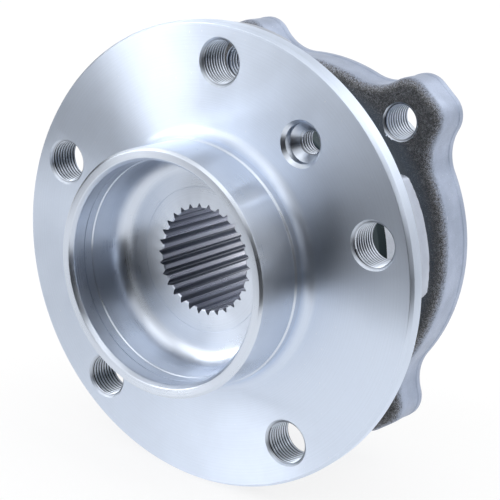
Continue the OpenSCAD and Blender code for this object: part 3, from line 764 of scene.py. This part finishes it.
def hub_face_kind(centre, normal):
    """0 turned face, 1 forged back, 2 thread, 3 spline, 4 ground, 5 screw hole, 6 turned pilot and cup."""
    radius = math.hypot(centre.x, centre.z)
    if in_hole(centre, normal, BOLT_HOLES):
        return 2
    if in_hole(centre, normal, SCREW_HOLE):
        return 5
    if radius < SPLINE_MAJOR_R + 0.02 and centre.y > 1.05:
        return 3
    if centre.y > RIM_T + 0.05 and radius > SEAL_FACE_R:
        return 1
    if centre.y > RIM_T + 0.05:
        return 4
    return 6 if radius < CUP_R + 0.6 or centre.y < -PILOT_FILLET else 0


def ring_face_kind(centre, normal):
    """0 forged lug flange, 1 turned nose with painted shade, 2 thread, 3 ground bore, 4 body with painted
    light, 5 machined back.
    """
    radius = math.hypot(centre.x, centre.z)
    if in_hole(centre, normal, LUG_HOLES):
        return 2
    if radius < SEAL_SEAT_R + 0.05:
        return 3
    if centre.y > KNUCKLE_FACE_Y - 0.4:
        return 5
    if centre.y < RING_NOSE_BACK_Y + 1.6:
        return 1
    return 4 if centre.y < LUG_FRONT_Y - RING_FILLET else 0


hub = build_hub()
ring = build_outer_ring()
face_steel = turned_steel("turned_steel", (0.72, 0.8, 0.935))
pilot_steel = turned_steel("turned_pilot", (0.69, 0.75, 0.85), 0.3, 0.88)
# The turned nose is coloured nearly black: painted shade from the gap behind the hub's flange.
nose_painted_shade_steel = turned_steel("turned_nose_painted_shade", (0.055, 0.075, 0.084), 0.4, 0.6)
ground = turned_steel("ground_steel", (0.68, 0.72, 0.78), 0.2, 0.5, 0.0006)
forged_hub = blasted_steel("blasted_hub", (0.4, 0.44, 0.53), (0.53, 0.58, 0.68), 1.0, 0.4)
bolt_thread = thread_steel("bolt_thread", [c for c, r in BOLT_HOLES], BOLT_THREAD_R, BOLT_PITCH, 0.2, 0.5)
screw_thread = thread_steel("screw_thread", [c for c, r in SCREW_HOLE], SCREW_THREAD_R, SCREW_PITCH, 5.3,
                            0.3)
lug_thread = thread_steel("lug_thread", [c for c, r in LUG_HOLES], KNUCKLE_THREAD_R, KNUCKLE_PITCH,
                          LUG_FRONT_Y, 0.4)
paint(hub, [face_steel, forged_hub, bolt_thread, spline_steel("spline_steel"), ground, screw_thread,
            pilot_steel], hub_face_kind)
# The body's blasted steel is coloured much paler than the forging: painted light on a part that sits in the
# shade between the hub's flange and the lug flange.
ring_body_painted_light = blasted_steel("ring_body_painted_light", (0.68, 0.73, 0.82), (0.82, 0.87, 0.95), 0.45, 0.42, 0.006)
machined = turned_steel("machined_steel", (0.5, 0.54, 0.6), 0.38, 0.8)
paint(ring, [forged_steel("forged_steel"), nose_painted_shade_steel, lug_thread, ground, ring_body_painted_light, machined],
      ring_face_kind)
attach(hub, "hub")
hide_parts("hub")
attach(ring, "carrier")
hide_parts("outer_ring")

# Camera, from the fit of the bolt circle, pilot and lug outline in the photograph: its direction from the
# object in degrees, its distance and the point it looks at in millimetres. HUB_TURN is the angle about the
# axis from the frame of that fit to this one.
AZIMUTH, ELEVATION, ROLL = 34.137, 16.956, 5.084
DISTANCE, FOCAL_PX, FRAME_PX = 412.23, 1404.875, 500
SENSOR_MM = 36
AIM_X, AIM_Z = 16.466, 7.189
HUB_TURN = 1.0


def add_camera():
    """Camera at the photograph's viewpoint."""
    az, el, roll = (math.radians(v) for v in (AZIMUTH, ELEVATION, ROLL))
    backward = Vector((math.sin(az) * math.cos(el), -math.cos(az) * math.cos(el), math.sin(el)))
    right = (-backward).cross(Vector((0, 0, 1))).normalized()
    up = right.cross(-backward)
    side = right * math.cos(roll) + up * math.sin(roll)
    top = up * math.cos(roll) - right * math.sin(roll)
    place = (Vector((AIM_X, 0, AIM_Z)) + backward * DISTANCE) * MM
    turn = Matrix.Rotation(math.radians(-HUB_TURN), 3, "Y")
    side, top, backward, place = turn @ side, turn @ top, turn @ backward, turn @ place
    camera = bpy.data.objects.new("camera", bpy.data.cameras.new("camera"))
    bpy.context.scene.collection.objects.link(camera)
    camera.data.sensor_width = SENSOR_MM
    camera.data.lens = FOCAL_PX / FRAME_PX * SENSOR_MM
    camera.data.clip_start = 0.01
    axes = Matrix((side, top, backward)).transposed().to_4x4()
    camera.matrix_world = Matrix.Translation(place) @ axes
    bpy.context.scene.camera = camera


# Materials of the solids that are carried over as they are, by a word in their name
CARRIED = {
    "inner_ring": ground,
    "encoder_ring": moulded("encoder_rubber", (0.05, 0.042, 0.036), (0.1, 0.085, 0.075), 0.5, 3.0, 0.01),
    "cage": moulded("cage_polyamide", (0.55, 0.45, 0.27), (0.68, 0.58, 0.37), 0.42, 2.0, 0.015, 0.1),
    "seal_case": sheet_steel("sheet_steel"),
    "seal_lip": moulded("seal_rubber", (0.022, 0.022, 0.025), (0.05, 0.05, 0.055), 0.5, 3.0, 0.01),
    "slinger": sheet_steel("slinger_steel"),
    "ball": ball_steel("ball_steel"),
}
for node_name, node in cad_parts.items():
    for word, mat in CARRIED.items():
        if word in node_name:
            node.data.materials.clear()
            node.data.materials.append(mat)

# Panels that reflections see around the object: azimuth and elevation, half width and height, tilt, softness
# of the edge, brightness. Azimuth is measured from the wheel's side of the axis towards +X, in degrees.
STUDIO_LEVEL = 0.88
STUDIO_PANELS = (
    (-42, 25, 15, 17, 0, 0.3, 2.0),
    (93, 47, 15, 28, -3, 0.3, 2.4),
    (8, 5, 26, 18, 16, 0.3, 0.45),
    (50, 9, 33, 23, 16, 0.28, 0.0),
    (-92, 3, 34, 9, 0, 0.35, 0.05),
    (0, 53, 14, 15, 0, 0.3, 1.7),
    (-175, 54, 27, 16, 0, 0.3, 0.8),
    (160, 34, 22, 14, 0, 0.35, 1.9),
    (-53, 10, 18, 5, -42, 0.2, 7.0),
)
FLOOR_Z = -71.6
FLOOR_SIZE = 20000.0
# Share of the floor's light that it gives by itself where it is looked at or reflected
FLOOR_GLOW = 0.8
# Where reflections see the floor go dark: direction, start and end in metres, and the colour it ends at
FLOOR_DARKS = (((-0.64, -0.77, 0), 0.3, 0.5), ((0.5, -0.87, 0), 0.18, 0.27))
FLOOR_DARK = 0.05


def add_studio():
    """World of one plain level with soft-edged light and dark panels. The camera sees it white."""
    world = bpy.data.worlds.new("studio")
    bpy.context.scene.world = world
    world.use_nodes = True
    tree = world.node_tree
    look = node_in(tree, "TexCoord").outputs["Generated"]
    level = STUDIO_LEVEL
    for azimuth, elevation, half_w, half_h, tilt, edge, brightness in STUDIO_PANELS:
        az, el = math.radians(azimuth), math.radians(elevation)
        centre = Vector((math.sin(az) * math.cos(el), -math.cos(az) * math.cos(el), math.sin(el)))
        turn = Matrix.Rotation(math.radians(tilt), 3, centre)
        wide = turn @ Vector((math.cos(az), math.sin(az), 0))
        high = turn @ centre.cross(wide)
        mask = node_in(tree, "Math", {0: node_in(tree, "VectorMath", {0: look, 1: centre},
                                                 operation="DOT_PRODUCT").outputs["Value"], 1: 0.0},
                       operation="GREATER_THAN").outputs[0]
        for axis, half in ((wide, half_w), (high, half_h)):
            across = node_in(tree, "VectorMath", {0: look, 1: axis},
                             operation="DOT_PRODUCT").outputs["Value"]
            away = node_in(tree, "Math", {0: across}, operation="ABSOLUTE").outputs[0]
            reach = math.sin(math.radians(half))
            fade = node_in(tree, "MapRange", {"Value": away, "From Min": reach * (1 + edge),
                                              "From Max": reach * (1 - edge)},
                           interpolation_type="SMOOTHSTEP").outputs[0]
            mask = node_in(tree, "Math", {0: mask, 1: fade}, operation="MULTIPLY").outputs[0]
        level = node_in(tree, "Mix", {0: mask, 2: level, 3: brightness}).outputs[0]
    path = node_in(tree, "LightPath")
    seen = node_in(tree, "Math", {0: path.outputs["Is Camera Ray"], 1: path.outputs["Is Transmission Ray"]},
                   operation="MAXIMUM").outputs[0]
    level = node_in(tree, "Mix", {0: seen, 2: level, 3: 1.0}).outputs[0]
    tree.links.new(level, tree.nodes["Background"].inputs["Strength"])
    tree.nodes["Background"].inputs["Color"].default_value = (1, 1, 1, 1)


def add_floor():
    """Wide floor that keeps the object's shadow. The camera sees it pale, reflections see two dark ends."""
    size, z = FLOOR_SIZE * MM, FLOOR_Z * MM
    mesh = bpy.data.meshes.new("floor")
    corners = [(-size, -size, z), (size, -size, z), (size, size, z), (-size, size, z)]
    mesh.from_pydata(corners, [], [(0, 1, 2, 3)])
    floor = bpy.data.objects.new("floor", mesh)
    bpy.context.scene.collection.objects.link(floor)
    mat = bpy.data.materials.new("floor")
    mat.use_nodes = True
    tree = mat.node_tree
    shader = tree.nodes["Principled BSDF"]
    place = node_in(tree, "TexCoord").outputs["Object"]
    fade = None
    for toward, start, end in FLOOR_DARKS:
        away = node_in(tree, "VectorMath", {0: place, 1: toward}, operation="DOT_PRODUCT").outputs["Value"]
        dark = node_in(tree, "MapRange", {"Value": away, "From Min": start, "From Max": end},
                       interpolation_type="SMOOTHSTEP").outputs[0]
        fade = node_in(tree, "Math", {0: fade, 1: dark}, operation="MAXIMUM").outputs[0] if fade else dark
    path = node_in(tree, "LightPath").outputs
    pale = node_in(tree, "MapRange", {"Value": fade, "To Min": 1.0, "To Max": FLOOR_DARK}).outputs[0]
    pale = node_in(tree, "Math", {0: pale, 1: path["Is Camera Ray"]}, operation="MAXIMUM").outputs[0]
    tree.links.new(pale, shader.inputs["Base Color"])
    shader.inputs["Roughness"].default_value = 0.9
    seen = path["Is Camera Ray"]
    for kind in ("Is Glossy Ray", "Is Transmission Ray"):
        seen = node_in(tree, "Math", {0: seen, 1: path[kind]}, operation="MAXIMUM").outputs[0]
    share = node_in(tree, "Math", {0: seen, 1: FLOOR_GLOW}, operation="MULTIPLY").outputs[0]
    glow = node_in(tree, "Emission", {"Color": pale, "Strength": 1.0})
    mix = node_in(tree, "MixShader", {0: share, 1: shader.outputs[0], 2: glow.outputs[0]})
    tree.links.new(mix.outputs[0], tree.nodes["Material Output"].inputs["Surface"])
    mesh.materials.append(mat)


add_camera()
add_studio()
add_floor()
bpy.context.scene.view_settings.view_transform = "Standard"
